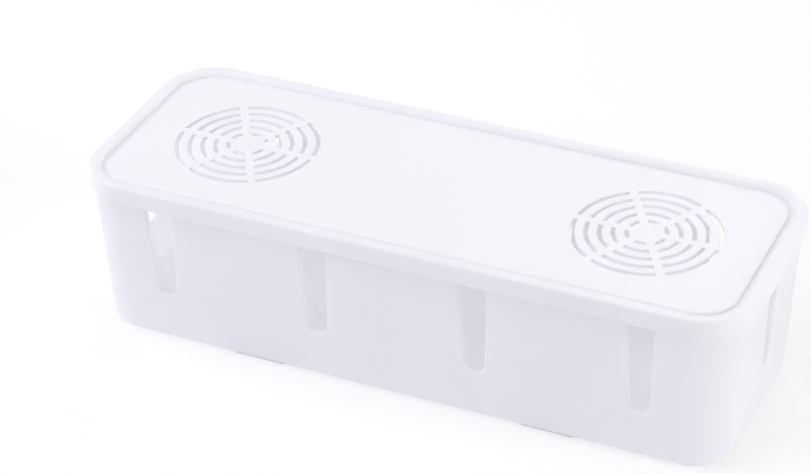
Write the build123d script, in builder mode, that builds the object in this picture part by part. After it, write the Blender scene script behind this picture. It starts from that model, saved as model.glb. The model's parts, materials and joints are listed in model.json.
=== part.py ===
from build123d import *
import os
from math import atan, degrees, radians, tan

# Cable management box: a drafted open tray on four pads, closed by a lift-off lid.
# Units are millimetres. X runs along the box, Y across it, +Z is up.
# The origin is at the centre of the footprint, on the surface that the pads stand on.

# ---- overall size, with the lid on ----
box_length = 268.0
box_depth = 98.0
box_height = 70.0
corner_radius = 21.0

# ---- lid ----
skirt_height = 7.7
skirt_wall = 1.2
lid_thickness = 1.6
rim_width = 4.8
rim_outer_radius = 1.0
rim_inner_radius = 0.5
groove_width = 2.3
groove_depth = 0.9
panel_drop = 1.1
panel_edge_radius = 0.8

# ---- round vent grilles in the lid ----
vent_spacing = 164.6
vent_ring_count = 5
vent_first_radius = 7.5
vent_ring_pitch = 5.0
vent_slot_width = 1.8
vent_spoke_count = 6
vent_spoke_width = 3.0

# ---- tray ----
tray_wall = 2.0
floor_thickness = 2.0
wall_draft = 3.0
bottom_edge_radius = 2.0
floor_corner_chamfer = 2.0
rim_edge_chamfer = 0.4

# ---- how the lid sits on the tray ----
lid_side_clearance = 0.3
rib_clearance = 0.4

# ---- cable notches, open at the top edge of the tray ----
side_notch_count = 4
end_notch_count = 1
notch_spacing = 64.6
notch_top_width = 11.6
notch_bottom_width = 7.6
notch_bottom_height = 21.8
notch_corner_radius = 2.8
notch_edge_chamfer = 0.8

# ---- pads under the floor ----
foot_length = 22.3
foot_width = 10.0
foot_height = 1.5
foot_spacing = 119.6
foot_edge_inset = 2.2
foot_corner_radius = 1.5

# ---- levels above the desk ----
skirt_bottom = box_height - skirt_height
seat_height = box_height - lid_thickness
panel_height = box_height - panel_drop
groove_floor = panel_height - groove_depth
rib_bottom = groove_floor - lid_thickness
panel_underside = panel_height - lid_thickness

# ---- distances in from the lid's outline, seen from above ----
tray_inset = skirt_wall + lid_side_clearance
channel_inset = tray_inset + tray_wall + rib_clearance
panel_inset = rim_width + groove_width
rib_inset = panel_inset + lid_thickness

# ---- tray sizes that follow from the lid ----
tray_height = seat_height - foot_height
wall_lean = tray_height * tan(radians(wall_draft))
foot_offset = box_depth / 2 - tray_inset - wall_lean - foot_edge_inset - foot_width / 2
notch_rise = box_height - notch_bottom_height
notch_flare = (notch_top_width - notch_bottom_width) / 2 / (seat_height - notch_bottom_height)
notch_mouth_width = notch_bottom_width + 2 * notch_rise * notch_flare
notch_side_angle = 90 + degrees(atan(notch_flare))


def outline(inset, mode=Mode.ADD):
    """Rounded rectangle that runs inside the lid's outline at a distance of inset."""
    size = (box_length - 2 * inset, box_depth - 2 * inset)
    return RectangleRounded(*size, corner_radius - inset, mode=mode)


def notch_row(wall_plane, count):
    """A centred row of notch outlines, tapered, with rounded lower corners."""
    with BuildSketch(wall_plane) as notches:
        with Locations((0, notch_bottom_height)):
            with GridLocations(notch_spacing, 1, count, 1):
                Trapezoid(notch_mouth_width, notch_rise, notch_side_angle, align=(Align.CENTER, Align.MIN))
        fillet(notches.vertices().group_by(Axis.Y)[0], notch_corner_radius)
    return notches.sketch


def wall_faces(axis):
    """Faces that look along an axis, from the outermost on one side to the outermost on the other."""
    mostly_along = 0.9
    faces = tray.faces().filter_by(lambda face: abs(face.normal_at().dot(axis.direction)) > mostly_along)
    return faces.sort_by(axis)


def notch_edges(wall, along, count):
    """Edges of one wall face that run round its notches."""
    reach = (count - 1) / 2 * notch_spacing + notch_top_width / 2
    edges = wall.edges().filter_by_position(along, -reach, reach)
    return edges.filter_by_position(Axis.Z, notch_bottom_height / 2, seat_height - rim_edge_chamfer)


# ---- tray ----
rim_plane = Plane(origin=(0, 0, seat_height), x_dir=(1, 0, 0), z_dir=(0, 0, -1))
with BuildPart() as tray:
    with BuildSketch(rim_plane):
        outline(tray_inset)
    extrude(amount=tray_height, taper=wall_draft)
    fillet(tray.faces().sort_by(Axis.Z)[0].edges(), bottom_edge_radius)
    with BuildSketch(rim_plane):
        outline(tray_inset + tray_wall)
    extrude(amount=tray_height - floor_thickness, taper=wall_draft, mode=Mode.SUBTRACT)
    chamfer(tray.faces().filter_by(Plane.XY).sort_by(Axis.Z)[1].edges(), floor_corner_chamfer)

    extrude(notch_row(Plane.XZ, side_notch_count), amount=box_depth, both=True, mode=Mode.SUBTRACT)
    extrude(notch_row(Plane.YZ, end_notch_count), amount=box_length, both=True, mode=Mode.SUBTRACT)
    side_walls = wall_faces(Axis.Y)
    end_walls = wall_faces(Axis.X)
    lip_edges = ShapeList()
    for outer in (0, -1):
        lip_edges += notch_edges(side_walls[outer], Axis.X, side_notch_count)
        lip_edges += notch_edges(end_walls[outer], Axis.Y, end_notch_count)
    chamfer(lip_edges, notch_edge_chamfer)
    chamfer(tray.faces().filter_by(Plane.XY).group_by(Axis.Z)[-1].edges(), rim_edge_chamfer)

# ---- lid ----
with BuildPart() as lid:
    with BuildSketch(Plane.XY.offset(skirt_bottom)):
        outline(0)
    extrude(amount=skirt_height)
    fillet(lid.faces().sort_by(Axis.Z)[-1].edges(), rim_outer_radius)

    # Sunk panel, and the groove between it and the raised rim.
    with BuildSketch(Plane.XY.offset(panel_height)):
        outline(panel_inset)
    extrude(amount=panel_drop, mode=Mode.SUBTRACT)
    with BuildSketch(Plane.XY.offset(groove_floor)):
        outline(rim_width)
        outline(panel_inset, mode=Mode.SUBTRACT)
    extrude(amount=groove_depth + panel_drop, mode=Mode.SUBTRACT)

    # Hollow underside: the space in the skirt, the channel for the tray's rim, the panel's pocket.
    with BuildSketch(Plane.XY.offset(skirt_bottom)):
        outline(skirt_wall)
    extrude(amount=rib_bottom - skirt_bottom, mode=Mode.SUBTRACT)
    with BuildSketch(Plane.XY.offset(rib_bottom)):
        outline(skirt_wall)
        outline(channel_inset, mode=Mode.SUBTRACT)
    extrude(amount=seat_height - rib_bottom, mode=Mode.SUBTRACT)
    with BuildSketch(Plane.XY.offset(rib_bottom)):
        outline(rib_inset)
    extrude(amount=panel_underside - rib_bottom, mode=Mode.SUBTRACT)

    # Round the rim towards the groove, and the panel's edge.
    crest = lid.faces().sort_by(Axis.Z)[-1]
    fillet(crest.inner_wires()[0].edges(), rim_inner_radius)
    panel = lid.faces().filter_by(Plane.XY).group_by(Axis.Z)[-2][0]
    fillet(panel.outer_wire().edges(), panel_edge_radius)

    # Two grilles: rings of slots, bridged by spokes.
    with BuildSketch(Plane.XY.offset(box_height)):
        with GridLocations(vent_spacing, 1, 2, 1):
            for ring in reversed(range(vent_ring_count)):
                ring_radius = vent_first_radius + ring * vent_ring_pitch
                Circle(ring_radius + vent_slot_width / 2)
                Circle(ring_radius - vent_slot_width / 2, mode=Mode.SUBTRACT)
            with PolarLocations(0, vent_spoke_count):
                reach = vent_first_radius + vent_ring_count * vent_ring_pitch
                Rectangle(reach, vent_spoke_width, align=(Align.MIN, Align.CENTER), mode=Mode.SUBTRACT)
    extrude(amount=rib_bottom - box_height, mode=Mode.SUBTRACT)

tray.part.label = "tray"
lid.part.label = "lid"
os.makedirs("parts", exist_ok=True)
export_step(tray.part, "parts/tray.step")
export_step(lid.part, "parts/lid.step")

# ---- four pads, one under each corner of the floor ----
for end_name, end in (("front", -1), ("rear", 1)):
    for side_name, side in (("left", -1), ("right", 1)):
        name = f"foot_{end_name}_{side_name}"
        with BuildPart() as foot:
            with BuildSketch(Plane.XY):
                with Locations((side * foot_spacing / 2, end * foot_offset)):
                    RectangleRounded(foot_length, foot_width, foot_corner_radius)
            extrude(amount=foot_height)
        foot.part.label = name
        export_step(foot.part, f"parts/{name}.step")
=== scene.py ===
import json
from math import cos, pi, radians, sin, tan

import bmesh
import bpy
from bpy.props import FloatProperty, FloatVectorProperty, IntProperty, PointerProperty
from mathutils import Matrix, Quaternion, Vector


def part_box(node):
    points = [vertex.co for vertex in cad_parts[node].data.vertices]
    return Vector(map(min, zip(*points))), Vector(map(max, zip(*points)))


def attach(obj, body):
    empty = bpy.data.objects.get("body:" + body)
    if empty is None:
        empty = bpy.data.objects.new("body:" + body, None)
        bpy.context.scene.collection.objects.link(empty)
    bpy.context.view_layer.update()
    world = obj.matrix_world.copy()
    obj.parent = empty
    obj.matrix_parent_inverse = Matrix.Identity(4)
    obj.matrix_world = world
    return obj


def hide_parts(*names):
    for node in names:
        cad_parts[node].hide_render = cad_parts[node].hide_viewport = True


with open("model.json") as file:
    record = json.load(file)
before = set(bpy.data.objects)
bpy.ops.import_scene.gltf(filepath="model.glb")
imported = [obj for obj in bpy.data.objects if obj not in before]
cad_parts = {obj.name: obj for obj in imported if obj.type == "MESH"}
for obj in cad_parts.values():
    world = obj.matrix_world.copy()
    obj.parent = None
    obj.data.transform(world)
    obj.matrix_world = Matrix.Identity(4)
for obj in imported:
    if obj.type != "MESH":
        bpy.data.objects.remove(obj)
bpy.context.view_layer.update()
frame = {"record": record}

bl_info = {
    "name": "Cable Management Box",
    "version": (1, 0, 0),
    "blender": (4, 5, 0),
    "location": "View3D > Sidebar > Cable Box",
    "description": "Models a cable tray, its vented lift-off lid, its pads and a studio stage",
    "category": "Object",
}

# Sizes are in metres. X runs along the box, Y across it, +Z is up, and the pads stand at Z = 0.
LID_LOW, LID_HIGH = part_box("lid")
TRAY_LOW, TRAY_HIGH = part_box("tray")
BODY_OF = {node: body for body, nodes in frame["record"]["behaviour"]["bodies"].items() for node in nodes}
OPENINGS = {opening["name"]: opening["box_m"] for opening in frame["record"]["physics"]["openings"]}

CORNER_SEGMENTS = 32
ARC_SEGMENTS = 6
LIP_SEGMENTS = 8
SMOOTH_ANGLE = radians(32)
MERGE_DISTANCE = 1e-6
CUT_MARGIN = 0.001
QUARTER = pi / 2

PLASTIC_IOR = 1.49
# How much darker the clouds in the plastic and the specks in the rubber are, as shares of the colour.
CLOUD_SHARE = 0.012
SPECK_SHARE = 0.05
# How far the plastic's roughness strays to either side.
GLOSS_CHANGE = 0.04
# Most values of a noise texture lie between these two.
NOISE_LOW = 0.3
NOISE_HIGH = 0.7
SENSOR_WIDTH = 36.0


def length_property(name, description, default):
    return FloatProperty(
        name=name,
        description=description,
        default=default,
        min=0.0,
        precision=5,
        unit="LENGTH",
        subtype="DISTANCE",
    )


def share_property(name, description, default):
    return FloatProperty(name=name, description=description, default=default, min=0.0, subtype="FACTOR")


def angle_property(name, description, default):
    return FloatProperty(
        name=name, description=description, default=default, unit="ROTATION", subtype="ANGLE"
    )


def colour_property(name, description, default):
    return FloatVectorProperty(
        name=name, description=description, default=default, size=3, min=0.0, max=1.0, subtype="COLOR"
    )


class CableBoxLid(bpy.types.PropertyGroup):
    """Sizes of the lift-off lid"""

    corner_radius: length_property("Corner radius", "Radius of the lid's corners from above", 0.021)
    thickness: length_property("Thickness", "Wall of the lid's top", 0.0016)
    skirt_wall: length_property("Skirt wall", "Wall of the skirt that drops over the tray", 0.0012)
    skirt_edge_radius: length_property("Skirt edge radius", "Rounding of the skirt's edge", 0.0003)
    rim_width: length_property("Rim width", "Width of the raised rim", 0.0048)
    rim_radius: length_property("Rim radius", "Outer rounding of the raised rim", 0.001)
    rim_inner_radius: length_property("Rim inner radius", "Rounding of the rim beside the groove", 0.0018)
    groove_width: length_property("Groove width", "Width of the groove inside the rim", 0.0023)
    groove_depth: length_property("Groove depth", "Depth of the groove below the panel", 0.0009)
    panel_drop: length_property("Panel drop", "How far the panel lies below the rim", 0.0011)
    panel_edge_radius: length_property("Panel edge radius", "Rounding of the panel's edge", 0.0008)
    channel_inset: length_property("Channel inset", "From the skirt's face to the rib", 0.0039)


class CableBoxVents(bpy.types.PropertyGroup):
    """Sizes of the two round grilles in the lid"""

    spacing: length_property("Spacing", "Distance between the grilles' centres", 0.1646)
    first_radius: length_property("First radius", "Middle radius of the innermost ring of slots", 0.0075)
    ring_pitch: length_property("Ring pitch", "Distance from one ring of slots to the next", 0.005)
    ring_count: IntProperty(name="Rings", description="Rings of slots in a grille", default=5, min=1)
    slot_width: length_property("Slot width", "Width of a slot", 0.0018)
    slot_edge_radius: length_property("Slot edge radius", "Rounding of a slot's upper edge", 0.0002)
    spoke_width: length_property("Spoke width", "Width of a bridge between slots", 0.003)
    spoke_count: IntProperty(name="Spokes", description="Bridges round a grille", default=6, min=2)


class CableBoxTray(bpy.types.PropertyGroup):
    """Sizes of the tray"""

    wall: length_property("Wall", "Thickness of the tray's walls", 0.002)
    floor: length_property("Floor", "Thickness of the tray's floor", 0.002)
    draft: angle_property("Draft", "Lean of the tray's walls", radians(3))
    lid_gap: length_property("Lid gap", "Clearance between the tray's rim and the lid's skirt", 0.0003)
    rim_edge_radius: length_property("Rim edge radius", "Rounding of the tray's rim", 0.0004)
    bottom_radius: length_property("Bottom radius", "Rounding of the tray's lower edge", 0.002)
    floor_corner_radius: length_property("Floor corner radius", "Rounding between floor and wall", 0.002)
    notch_top_width: length_property("Notch top width", "Width of a cable notch at the rim", 0.0116)
    notch_bottom_width: length_property("Notch bottom width", "Width of a notch at its foot", 0.0076)
    notch_bottom_height: length_property("Notch bottom height", "From the desk to a notch's foot", 0.0218)
    notch_corner_radius: length_property("Notch corner radius", "Rounding of its lower corners", 0.0028)
    notch_lip_radius: length_property("Notch lip radius", "Rounding of a notch's outer edge", 0.0012)


class CableBoxPads(bpy.types.PropertyGroup):
    """Sizes of the pads under the tray"""

    corner_radius: length_property("Corner radius", "Rounding of a pad's corners from above", 0.0015)
    edge_radius: length_property("Edge radius", "Rounding of a pad's lower edges", 0.0004)


class CableBoxFinish(bpy.types.PropertyGroup):
    """Colours and surface of the plastics"""

    tray_colour: colour_property("Tray", "Colour of the tray's plastic", (0.98, 0.98, 0.993))
    lid_colour: colour_property("Lid", "Colour of the lid's plastic", (0.96, 0.96, 0.975))
    plastic_roughness: share_property("Plastic roughness", "Roughness of the satin plastic", 0.42)
    tray_translucency: share_property("Tray translucency", "Share of light let through the tray", 0.58)
    lid_translucency: share_property("Lid translucency", "Share of light let through the lid", 0.30)
    grain_size: length_property("Grain size", "Size of the fine grain that the mould leaves", 0.0004)
    grain_height: length_property("Grain height", "Height of the fine grain", 0.000012)
    flow_size: length_property("Flow size", "Size of the faint clouds in gloss and colour", 0.03)
    pad_colour: colour_property("Pad", "Colour of the pads", (0.82, 0.82, 0.84))
    pad_roughness: share_property("Pad roughness", "Roughness of the pads", 0.7)


class CableBoxStage(bpy.types.PropertyGroup):
    """Camera, lights and floor"""

    aim: FloatVectorProperty(
        name="Aim",
        description="Point that the camera looks at",
        default=(-0.0164, 0.0020, 0.0410),
        subtype="TRANSLATION",
        unit="LENGTH",
    )
    azimuth: angle_property("Azimuth", "Camera's turn round the box from its front", radians(25.11))
    elevation: angle_property("Elevation", "Camera's height above the horizon", radians(33.30))
    roll: angle_property("Roll", "Camera's lean about its own axis", radians(-1.44))
    distance: length_property("Distance", "From the aim point to the camera", 0.99935)
    lens: FloatProperty(name="Lens", description="Focal length", default=114.835, min=20.0, unit="CAMERA")
    floor_size: length_property("Floor size", "Side of the square floor", 5.0)
    floor_colour: colour_property("Floor", "Colour of the floor", (0.99, 0.99, 0.99))
    floor_whiteness: share_property("Floor whiteness", "How far the floor is seen as plain white", 0.5)
    ambient: share_property("Ambient", "Light from all round on the box", 0.0)
    bounces: IntProperty(name="Bounces", description="Bounces of light in the plastic", default=32, min=1)


# ---- modelling helpers ----

def arc(inset, height, radius, start, end, segments=ARC_SEGMENTS):
    """Points of an arc on a cross-section about (inset, height). Angles run from inwards (0) to up."""
    turns = [start + (end - start) * step / segments for step in range(segments + 1)]
    return [(inset + radius * cos(turn), height + radius * sin(turn)) for turn in turns]


def deselect_all():
    if bpy.context.mode != "OBJECT":
        bpy.ops.object.mode_set(mode="OBJECT")
    bpy.ops.object.select_all(action="DESELECT")


def work_on(piece):
    """Makes a piece the only one selected, and the active one."""
    deselect_all()
    piece.select_set(True)
    bpy.context.view_layer.objects.active = piece


def edit_all(piece):
    """Goes into edit mode on a piece with all of it selected."""
    work_on(piece)
    bpy.ops.object.mode_set(mode="EDIT")
    bpy.ops.mesh.select_mode(type="FACE")
    bpy.ops.mesh.select_all(action="SELECT")


def select_edges(piece, wanted):
    """Goes into edit mode and selects the edges for which wanted(edge) is true."""
    work_on(piece)
    bpy.ops.object.mode_set(mode="EDIT")
    bpy.ops.mesh.select_mode(type="EDGE")
    bpy.ops.mesh.select_all(action="DESELECT")
    mesh = bmesh.from_edit_mesh(piece.data)
    for edge in mesh.edges:
        edge.select_set(wanted(edge))
    bmesh.update_edit_mesh(piece.data)


def outline_face(length, width, radius, height):
    """A flat face with rounded corners that looks up, in edit mode."""
    deselect_all()
    bpy.ops.mesh.primitive_plane_add(size=1, location=(0, 0, height))
    face = bpy.context.object
    face.scale = (length, width, 1)
    bpy.ops.object.transform_apply(location=True, rotation=False, scale=True)
    edit_all(face)
    bpy.ops.mesh.bevel(offset=radius, segments=CORNER_SEGMENTS, affect="VERTICES", clamp_overlap=False)
    bpy.ops.mesh.select_all(action="SELECT")
    return face


def grow_inwards(profile, rise):
    """Insets the selected face along (inset, height) points. Rise is -1 for a face that looks down."""
    for (inset, height), (next_inset, next_height) in zip(profile, profile[1:]):
        bpy.ops.mesh.inset(thickness=max(next_inset - inset, 0.0), depth=rise * (next_height - height))


def join_pieces(pieces):
    """Joins pieces into the first, closes them where they meet and returns it."""
    work_on(pieces[0])
    for piece in pieces:
        piece.select_set(True)
    bpy.ops.object.join()
    edit_all(pieces[0])
    bpy.ops.mesh.remove_doubles(threshold=MERGE_DISTANCE)
    bpy.ops.object.mode_set(mode="OBJECT")
    return pieces[0]


def moulded_shell(name, make_face, upward_profile, downward_profile):
    """A closed shell: one face grown along a cross-section upwards, and the same face grown downwards."""
    upper = make_face()
    grow_inwards(upward_profile, 1)
    bpy.ops.object.mode_set(mode="OBJECT")
    lower = make_face()
    bpy.ops.mesh.flip_normals()
    grow_inwards(downward_profile, -1)
    bpy.ops.object.mode_set(mode="OBJECT")
    shell = join_pieces([upper, lower])
    shell.name = name
    return shell


def copy_piece(piece, matrix):
    """A copy with its own mesh, moved by a matrix."""
    copy = piece.copy()
    copy.data = piece.data.copy()
    copy.data.transform(matrix)
    bpy.context.scene.collection.objects.link(copy)
    return copy


def join_copies(piece, matrices):
    """Joins one copy of a piece per matrix, and deletes the piece itself."""
    copies = [copy_piece(piece, matrix) for matrix in matrices]
    bpy.data.objects.remove(piece)
    return join_pieces(copies)


def cut_away(piece, cutter):
    """Takes a cutter out of a piece and deletes the cutter."""
    work_on(piece)
    cut = piece.modifiers.new("cut", "BOOLEAN")
    cut.operation = "DIFFERENCE"
    cut.solver = "EXACT"
    cut.object = cutter
    bpy.ops.object.modifier_apply(modifier=cut.name)
    bpy.data.objects.remove(cutter)


def finish_piece(piece, material, node):
    """Smooths a piece, gives it its material and puts it in place of a CAD node."""
    work_on(piece)
    bpy.ops.object.shade_smooth_by_angle(angle=SMOOTH_ANGLE)
    weighted = piece.modifiers.new("weighted normals", "WEIGHTED_NORMAL")
    weighted.keep_sharp = True
    bpy.ops.object.modifier_apply(modifier=weighted.name)
    piece.data.materials.clear()
    piece.data.materials.append(material)
    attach(piece, BODY_OF[node])
    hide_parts(node)


# ---- materials ----

def new_material(name):
    """A material with its node tree, its links and its surface shader."""
    material = bpy.data.materials.new(name)
    material.use_nodes = True
    tree = material.node_tree
    return material, tree, tree.nodes["Principled BSDF"]


def noise(tree, size, detail):
    """Noise in the piece's own coordinates, with features of about the given size."""
    place = tree.nodes.new("ShaderNodeTexCoord")
    texture = tree.nodes.new("ShaderNodeTexNoise")
    texture.inputs["Scale"].default_value = 1 / size
    texture.inputs["Detail"].default_value = detail
    tree.links.new(place.outputs["Object"], texture.inputs["Vector"])
    return texture.outputs["Fac"]


def spread(tree, factor, low, high):
    """Maps a factor around its middle to the range from low to high."""
    ranged = tree.nodes.new("ShaderNodeMapRange")
    ranged.inputs["From Min"].default_value = NOISE_LOW
    ranged.inputs["From Max"].default_value = NOISE_HIGH
    ranged.inputs["To Min"].default_value = low
    ranged.inputs["To Max"].default_value = high
    tree.links.new(factor, ranged.inputs["Value"])
    return ranged.outputs["Result"]


def add_grain(tree, shader, size, height):
    """Bumps a surface with a fine grain."""
    bump = tree.nodes.new("ShaderNodeBump")
    bump.inputs["Distance"].default_value = height
    tree.links.new(noise(tree, size, detail=2.0), bump.inputs["Height"])
    tree.links.new(bump.outputs["Normal"], shader.inputs["Normal"])


def clouded_colour(tree, shader, colour, factor, change):
    """Lets a colour vary by a small share of itself."""
    value = tree.nodes.new("ShaderNodeHueSaturation")
    value.inputs["Color"].default_value = (*colour, 1)
    tree.links.new(spread(tree, factor, 1 - change, 1.0), value.inputs["Value"])
    tree.links.new(value.outputs["Color"], shader.inputs["Base Color"])


def satin_plastic(name, colour, translucency):
    """Milky white plastic that lets light through, with a fine grain and faint clouds in its gloss."""
    finish = bpy.context.scene.cable_box_finish
    material, tree, shader = new_material(name)
    clouds = noise(tree, finish.flow_size, detail=3.0)
    clouded_colour(tree, shader, colour, clouds, CLOUD_SHARE)
    rough = finish.plastic_roughness
    gloss = spread(tree, clouds, rough - GLOSS_CHANGE, rough + GLOSS_CHANGE)
    tree.links.new(gloss, shader.inputs["Roughness"])
    shader.inputs["IOR"].default_value = PLASTIC_IOR
    add_grain(tree, shader, finish.grain_size, finish.grain_height)

    glow = tree.nodes.new("ShaderNodeBsdfTranslucent")
    glow.inputs["Color"].default_value = (*colour, 1)
    mix = tree.nodes.new("ShaderNodeMixShader")
    mix.inputs["Fac"].default_value = translucency
    tree.links.new(shader.outputs["BSDF"], mix.inputs[1])
    tree.links.new(glow.outputs["BSDF"], mix.inputs[2])
    tree.links.new(mix.outputs["Shader"], tree.nodes["Material Output"].inputs["Surface"])
    return material


def pad_rubber():
    """Soft matt rubber."""
    finish = bpy.context.scene.cable_box_finish
    material, tree, shader = new_material("pad_rubber")
    specks = noise(tree, finish.grain_size * 4, detail=3.0)
    clouded_colour(tree, shader, finish.pad_colour, specks, SPECK_SHARE)
    shader.inputs["Roughness"].default_value = finish.pad_roughness
    add_grain(tree, shader, finish.grain_size, finish.grain_height * 2)
    return material


# ---- tray ----

def tray_profiles(tray, rim_inset, corner_height):
    """Cross-sections of the tray from its widest line: over the rim to the floor, and down to the base."""
    lean = tan(tray.draft)
    top, bottom = TRAY_HIGH.z, TRAY_LOW.z
    edge, inner = tray.rim_edge_radius, rim_inset + tray.wall

    floor_top = bottom + tray.floor
    corner = tray.floor_corner_radius
    floor_inset = inner + (top - floor_top) * lean
    upward = arc(rim_inset + edge, corner_height, edge, pi, QUARTER)
    upward += arc(inner - edge, corner_height, edge, QUARTER, 0)
    upward += arc(floor_inset + corner, floor_top + corner, corner, pi, pi + QUARTER)

    base = tray.bottom_radius
    base_inset = rim_inset + (top - bottom) * lean
    downward = [(rim_inset, corner_height)]
    downward += arc(base_inset + base, bottom + base, base, pi, pi + QUARTER)
    return upward, downward


def notch_cutter(tray):
    """Cutter for one notch in the front wall, at the origin. Its mouth flares by the lip's radius."""
    lip = tray.notch_lip_radius
    depth = TRAY_HIGH.z - tray.notch_bottom_height
    flare = (tray.notch_top_width - tray.notch_bottom_width) / 2 / depth
    top, bottom = CUT_MARGIN, -depth - lip
    top_width = tray.notch_top_width + 2 * (lip + CUT_MARGIN * flare)
    bottom_width = tray.notch_bottom_width + 2 * lip * (1 - flare)

    def mouth():
        deselect_all()
        bpy.ops.mesh.primitive_plane_add(size=1, location=(0, (top + bottom) / 2, 0))
        face = bpy.context.object
        face.scale = (top_width, top - bottom, 1)
        bpy.ops.object.transform_apply(location=True, rotation=False, scale=True)
        edit_all(face)
        bpy.ops.mesh.select_mode(type="VERT")
        bpy.ops.mesh.select_all(action="DESELECT")
        mesh = bmesh.from_edit_mesh(face.data)
        for vertex in mesh.verts:
            vertex.select_set(vertex.co.y < (top + bottom) / 2)
        bmesh.update_edit_mesh(face.data)
        bpy.ops.transform.resize(value=(bottom_width / top_width, 1, 1))
        corner = tray.notch_corner_radius + lip
        bpy.ops.mesh.bevel(
            offset=corner, segments=CORNER_SEGMENTS // 2, affect="VERTICES", clamp_overlap=False
        )
        bpy.ops.mesh.select_mode(type="FACE")
        bpy.ops.mesh.select_all(action="SELECT")
        return face

    clearance = 3 * CUT_MARGIN
    inwards = arc(0, -lip, lip, QUARTER, 0, LIP_SEGMENTS)
    inwards.append((lip, -tray.wall - clearance))
    outwards = [(0, 0), (0, clearance)]
    cutter = moulded_shell("notch_cutter", mouth, outwards, inwards)
    # The outline was drawn lying down: stood up, its back points into the box, and it leans with the wall.
    cutter.data.transform(Matrix.Rotation(QUARTER + tray.draft, 4, "X"))
    return cutter


def notch_places(rim_inset):
    """Where the notches' outer faces meet the rim, each as a matrix for the cutter."""
    places = []
    for name, (low, high) in OPENINGS.items():
        if not name.startswith("notch_"):
            continue
        middle = (Vector(low) + Vector(high)) / 2
        if "front" in name:
            point, turn = Vector((middle.x, LID_LOW.y + rim_inset, TRAY_HIGH.z)), 0
        elif "rear" in name:
            point, turn = Vector((middle.x, LID_HIGH.y - rim_inset, TRAY_HIGH.z)), pi
        elif "left" in name:
            point, turn = Vector((LID_LOW.x + rim_inset, middle.y, TRAY_HIGH.z)), -QUARTER
        else:
            point, turn = Vector((LID_HIGH.x - rim_inset, middle.y, TRAY_HIGH.z)), QUARTER
        places.append(Matrix.Translation(point) @ Matrix.Rotation(turn, 4, "Z"))
    return places


class CABLEBOX_OT_tray(bpy.types.Operator):
    """Model the tray: a drafted open box with cable notches in its walls"""

    bl_idname = "cable_box.tray"
    bl_label = "Tray"

    def execute(self, context):
        tray, lid = context.scene.cable_box_tray, context.scene.cable_box_lid
        rim_inset = lid.skirt_wall + tray.lid_gap
        corner_height = TRAY_HIGH.z - tray.rim_edge_radius
        size = LID_HIGH - LID_LOW

        def rim_line():
            return outline_face(
                size.x - 2 * rim_inset, size.y - 2 * rim_inset, lid.corner_radius - rim_inset, corner_height
            )

        upward, downward = tray_profiles(tray, rim_inset, corner_height)
        shell = moulded_shell("cable_tray", rim_line, upward, downward)
        cut_away(shell, join_copies(notch_cutter(tray), notch_places(rim_inset)))
        finish = context.scene.cable_box_finish
        plastic = satin_plastic("tray_plastic", finish.tray_colour, finish.tray_translucency)
        finish_piece(shell, plastic, "tray")
        return {"FINISHED"}


# ---- lid ----

def lid_profiles(lid):
    """Cross-sections of the lid from the skirt's lower line: over the rim to the panel, and up under it."""
    top, bottom = LID_HIGH.z, LID_LOW.z
    foot = lid.skirt_edge_radius
    start = bottom + foot
    panel = top - lid.panel_drop
    groove = panel - lid.groove_depth
    crest, crest_edge = lid.rim_width, lid.rim_inner_radius
    panel_inset = lid.rim_width + lid.groove_width
    edge = lid.panel_edge_radius

    upward = [(0, start)]
    upward += arc(lid.rim_radius, top - lid.rim_radius, lid.rim_radius, pi, QUARTER, 2 * ARC_SEGMENTS)
    upward += arc(crest - crest_edge, top - crest_edge, crest_edge, QUARTER, 0, 2 * ARC_SEGMENTS)
    upward += [(crest, groove), (panel_inset, groove)]
    upward += arc(panel_inset + edge, panel - edge, edge, pi, QUARTER)

    seat, rib = TRAY_HIGH.z, groove - lid.thickness
    rib_inset = panel_inset + lid.thickness
    downward = arc(foot, start, foot, pi, pi + QUARTER)
    downward += arc(lid.skirt_wall - foot, start, foot, -QUARTER, 0)
    downward += [(lid.skirt_wall, seat), (lid.channel_inset, seat), (lid.channel_inset, rib)]
    downward += [(rib_inset, rib), (rib_inset, panel - lid.thickness)]
    return upward, downward, panel


def slot_section(vents, low, panel):
    """Cross-section of a slot's cutter, one face: straight sides that flare up to the panel."""
    edge = vents.slot_edge_radius
    straight = panel - edge - low
    deselect_all()
    bpy.ops.mesh.primitive_plane_add(
        size=1, location=(vents.first_radius, 0, low + straight / 2), rotation=(QUARTER, 0, 0)
    )
    section = bpy.context.object
    section.scale = (vents.slot_width, straight, 1)
    bpy.ops.object.transform_apply(location=True, rotation=True, scale=True)
    side_top = panel - edge - MERGE_DISTANCE
    select_edges(section, lambda side: all(vertex.co.z > side_top for vertex in side.verts))
    flare = arc(vents.slot_width / 2 + edge, panel - edge, edge, pi, QUARTER)
    flare.append((flare[-1][0], panel + CUT_MARGIN))
    for (half_width, height), (next_half_width, next_height) in zip(flare, flare[1:]):
        bpy.ops.mesh.extrude_edges_move(TRANSFORM_OT_translate={"value": (0, 0, next_height - height)})
        bpy.ops.transform.resize(value=(next_half_width / half_width, 1, 1))
    edit_all(section)
    bpy.ops.mesh.dissolve_faces()
    bpy.ops.object.mode_set(mode="OBJECT")
    return section


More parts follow.
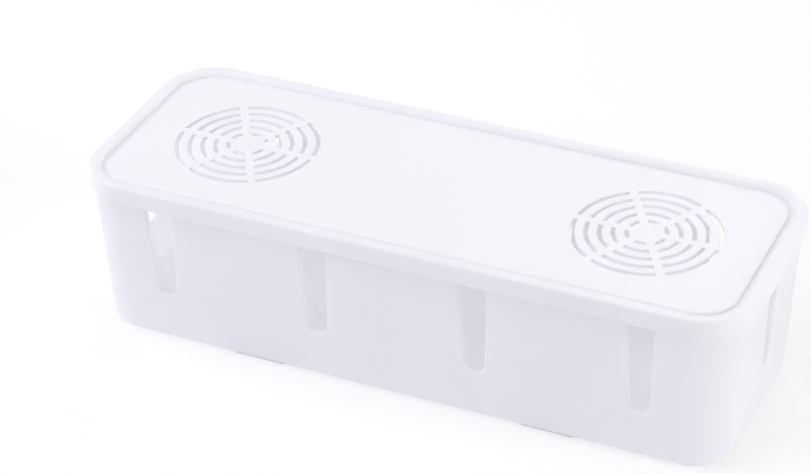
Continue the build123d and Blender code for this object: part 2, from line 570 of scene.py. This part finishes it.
def slot_sector(vents, low, panel):
    """Cutters for the slots of one sector of a grille, between two spokes, round the origin."""
    slots = slot_section(vents, low, panel)
    rings = slots.modifiers.new("rings", "ARRAY")
    rings.count = vents.ring_count
    rings.use_relative_offset = False
    rings.use_constant_offset = True
    rings.constant_offset_displace = (vents.ring_pitch, 0, 0)
    bpy.ops.object.modifier_apply(modifier=rings.name)

    # A Screw modifier turns the sections, because a spin orders its faces differently in each run.
    sector = 2 * pi / vents.spoke_count
    turning = slots.modifiers.new("turning", "SCREW")
    turning.angle = sector
    turning.steps = turning.render_steps = CORNER_SEGMENTS
    bpy.ops.object.modifier_apply(modifier=turning.name)
    edit_all(slots)
    for turn in (-QUARTER, sector + QUARTER):
        outwards = Vector((cos(turn), sin(turn), 0))
        bpy.ops.mesh.select_all(action="SELECT")
        bpy.ops.mesh.bisect(
            plane_co=-vents.spoke_width / 2 * outwards, plane_no=outwards, use_fill=True, clear_outer=True
        )
    bpy.ops.mesh.select_all(action="SELECT")
    bpy.ops.mesh.normals_make_consistent(inside=False)
    bpy.ops.object.mode_set(mode="OBJECT")
    return slots


def cut_vents(shell, vents, panel, underside):
    """Cuts both grilles through the panel, which is first divided along their spokes."""
    sector = 2 * pi / vents.spoke_count
    turns = [sector * step for step in range(vents.spoke_count)]
    centres = [Vector((side * vents.spacing / 2, 0, 0)) for side in (-1, 1)]
    edit_all(shell)
    for centre in centres:
        for turn in turns[: vents.spoke_count // 2]:
            across = Vector((-sin(turn), cos(turn), 0))
            bpy.ops.mesh.select_all(action="SELECT")
            bpy.ops.mesh.bisect(plane_co=centre, plane_no=across)
    slots = slot_sector(vents, underside - CUT_MARGIN, panel)
    shifts = [Matrix.Translation(centre) for centre in centres]
    places = [shift @ Matrix.Rotation(turn, 4, "Z") for shift in shifts for turn in turns]
    cut_away(shell, join_copies(slots, places))


class CABLEBOX_OT_lid(bpy.types.Operator):
    """Model the lid: a skirt, a raised rim, a groove, a sunk panel and two round grilles"""

    bl_idname = "cable_box.lid"
    bl_label = "Lid"

    def execute(self, context):
        lid, vents = context.scene.cable_box_lid, context.scene.cable_box_vents
        size = LID_HIGH - LID_LOW
        upward, downward, panel = lid_profiles(lid)

        def skirt_line():
            return outline_face(size.x, size.y, lid.corner_radius, LID_LOW.z + lid.skirt_edge_radius)

        shell = moulded_shell("vented_lid", skirt_line, upward, downward)
        cut_vents(shell, vents, panel, panel - lid.thickness)
        finish = context.scene.cable_box_finish
        plastic = satin_plastic("lid_plastic", finish.lid_colour, finish.lid_translucency)
        finish_piece(shell, plastic, "lid")
        return {"FINISHED"}


# ---- pads ----

class CABLEBOX_OT_pads(bpy.types.Operator):
    """Model one pad and put a copy of it at each corner of the tray's floor"""

    bl_idname = "cable_box.pads"
    bl_label = "Pads"

    def execute(self, context):
        pads = context.scene.cable_box_pads
        rubber = pad_rubber()
        nodes = [node for node in BODY_OF if node.startswith("foot_")]
        low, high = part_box(nodes[0])
        deselect_all()
        bpy.ops.mesh.primitive_cube_add(size=1, location=(0, 0, (low.z + high.z) / 2))
        model = bpy.context.object
        model.scale = high - low
        bpy.ops.object.transform_apply(location=True, rotation=False, scale=True)
        select_edges(model, lambda edge: abs(edge.verts[0].co.z - edge.verts[1].co.z) > MERGE_DISTANCE)
        bpy.ops.mesh.bevel(offset=pads.corner_radius, segments=2 * ARC_SEGMENTS, affect="EDGES")
        floor_line = low.z + MERGE_DISTANCE
        select_edges(model, lambda edge: all(vertex.co.z < floor_line for vertex in edge.verts))
        bpy.ops.mesh.bevel(offset=pads.edge_radius, segments=ARC_SEGMENTS // 2, affect="EDGES")
        bpy.ops.object.mode_set(mode="OBJECT")
        for node in nodes:
            low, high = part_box(node)
            middle = (low + high) / 2
            pad = copy_piece(model, Matrix.Translation((middle.x, middle.y, 0)))
            pad.name = node.replace("foot", "pad")
            finish_piece(pad, rubber, node)
        bpy.data.objects.remove(model)
        return {"FINISHED"}


# ---- stage ----

COOL = (0.91, 0.91, 1.0)
NEUTRAL = (1.0, 1.0, 1.0)
SOFTBOX_DISTANCE = 1.6
SOFTBOXES = (
    # name, azimuth and elevation in degrees, side in metres, share of a white surface's brightness, colour
    ("softbox_top", 0, 88, 1.6, 0.485, NEUTRAL),
    ("softbox_front_left", -45, 30, 1.2, 0.55, COOL),
    ("softbox_front_right", 60, 15, 0.8, 0.09, NEUTRAL),
    ("softbox_right", 86, 16, 0.7, 0.48, NEUTRAL),
    ("softbox_back", 180, 35, 1.2, 0.33, NEUTRAL),
    ("softbox_left", -90, 25, 1.0, 0.36, COOL),
)


def direction(azimuth, elevation):
    """Unit vector from the box towards a place round it. Azimuth 0 is in front, 90 to the right."""
    level = cos(elevation)
    return Vector((sin(azimuth) * level, -cos(azimuth) * level, sin(elevation)))


def add_softbox(name, azimuth, elevation, side, share, colour, aim):
    """A square area light that gives a white surface facing it that share of its full brightness."""
    towards = direction(radians(azimuth), radians(elevation))
    lamp = bpy.data.lights.new(name, "AREA")
    lamp.size = side
    lamp.color = colour
    lamp.energy = share * (pi * SOFTBOX_DISTANCE) ** 2
    light = bpy.data.objects.new(name, lamp)
    light.location = aim + towards * SOFTBOX_DISTANCE
    light.rotation_euler = towards.to_track_quat("Z", "Y").to_euler()
    bpy.context.scene.collection.objects.link(light)


def add_camera(stage):
    """The camera, aimed at the box and leaning a little."""
    towards = direction(stage.azimuth, stage.elevation)
    data = bpy.data.cameras.new("camera")
    data.lens = stage.lens
    data.sensor_width = SENSOR_WIDTH
    camera = bpy.data.objects.new("camera", data)
    camera.location = Vector(stage.aim) + towards * stage.distance
    turn = towards.to_track_quat("Z", "Y") @ Quaternion((0, 0, 1), stage.roll)
    camera.rotation_euler = turn.to_euler()
    bpy.context.scene.collection.objects.link(camera)
    bpy.context.scene.camera = camera


def seen_by(tree, *kinds):
    """A factor of 1 for the given kinds of rays, and 0 for all others."""
    path = tree.nodes.new("ShaderNodeLightPath")
    total = path.outputs[kinds[0]]
    for kind in kinds[1:]:
        larger = tree.nodes.new("ShaderNodeMath")
        larger.operation = "MAXIMUM"
        tree.links.new(total, larger.inputs[0])
        tree.links.new(path.outputs[kind], larger.inputs[1])
        total = larger.outputs[0]
    return total


def white_world(ambient):
    """A world that looks white and lights the box at the ambient level."""
    world = bpy.data.worlds.new("studio")
    bpy.context.scene.world = world
    world.use_nodes = True
    tree = world.node_tree
    background = tree.nodes["Background"]
    background.inputs["Color"].default_value = (1, 1, 1, 1)
    level = tree.nodes.new("ShaderNodeMapRange")
    level.inputs["To Min"].default_value = ambient
    level.inputs["To Max"].default_value = 1.0
    tree.links.new(seen_by(tree, "Is Camera Ray", "Is Glossy Ray"), level.inputs["Value"])
    tree.links.new(level.outputs["Result"], background.inputs["Strength"])


def floor_paper(colour, whiteness):
    """Pale paper that looks nearly white where it is seen, and still shows a light shadow."""
    material, tree, shader = new_material("floor_paper")
    shader.inputs["Base Color"].default_value = (*colour, 1)
    shader.inputs["Roughness"].default_value = 1.0
    shader.inputs["Specular IOR Level"].default_value = 0.0
    white = tree.nodes.new("ShaderNodeEmission")
    share = tree.nodes.new("ShaderNodeMath")
    share.operation = "MULTIPLY"
    share.inputs[1].default_value = whiteness
    mix = tree.nodes.new("ShaderNodeMixShader")
    seen = seen_by(tree, "Is Camera Ray", "Is Glossy Ray", "Is Transmission Ray")
    tree.links.new(seen, share.inputs[0])
    tree.links.new(share.outputs[0], mix.inputs["Fac"])
    tree.links.new(shader.outputs["BSDF"], mix.inputs[1])
    tree.links.new(white.outputs["Emission"], mix.inputs[2])
    tree.links.new(mix.outputs["Shader"], tree.nodes["Material Output"].inputs["Surface"])
    return material


class CABLEBOX_OT_stage(bpy.types.Operator):
    """Set up the floor, the white surroundings, the softboxes and the camera"""

    bl_idname = "cable_box.stage"
    bl_label = "Stage"

    def execute(self, context):
        stage = context.scene.cable_box_stage
        deselect_all()
        bpy.ops.mesh.primitive_plane_add(size=stage.floor_size, location=(0, 0, 0))
        floor = context.object
        floor.name = "floor"
        floor.data.materials.append(floor_paper(stage.floor_colour, stage.floor_whiteness))
        white_world(stage.ambient)
        for softbox in SOFTBOXES:
            add_softbox(*softbox, Vector(stage.aim))
        add_camera(stage)
        context.scene.view_settings.view_transform = "Standard"
        cycles = context.scene.cycles
        cycles.max_bounces = cycles.diffuse_bounces = cycles.transmission_bounces = stage.bounces
        return {"FINISHED"}


# ---- panel and registration ----

class CABLEBOX_PT_panel(bpy.types.Panel):
    """Buttons and sizes of the cable box"""

    bl_label = "Cable Management Box"
    bl_idname = "CABLEBOX_PT_panel"
    bl_space_type = "VIEW_3D"
    bl_region_type = "UI"
    bl_category = "Cable Box"

    def draw(self, context):
        for operator in OPERATORS:
            self.layout.operator(operator.bl_idname)
        for name, group in SETTINGS.items():
            box = self.layout.box()
            box.label(text=group.__doc__)
            for key in group.__annotations__:
                box.prop(getattr(context.scene, name), key)


SETTINGS = {
    "cable_box_lid": CableBoxLid,
    "cable_box_vents": CableBoxVents,
    "cable_box_tray": CableBoxTray,
    "cable_box_pads": CableBoxPads,
    "cable_box_finish": CableBoxFinish,
    "cable_box_stage": CableBoxStage,
}
OPERATORS = (CABLEBOX_OT_tray, CABLEBOX_OT_lid, CABLEBOX_OT_pads, CABLEBOX_OT_stage)
CLASSES = (*SETTINGS.values(), *OPERATORS, CABLEBOX_PT_panel)


def register():
    for cls in CLASSES:
        bpy.utils.register_class(cls)
    for name, group in SETTINGS.items():
        setattr(bpy.types.Scene, name, PointerProperty(type=group))


def unregister():
    for name in SETTINGS:
        delattr(bpy.types.Scene, name)
    for cls in reversed(CLASSES):
        bpy.utils.unregister_class(cls)


def main():
    register()
    bpy.ops.cable_box.tray()
    bpy.ops.cable_box.lid()
    bpy.ops.cable_box.pads()
    bpy.ops.cable_box.stage()


if __name__ == "__main__":
    main()
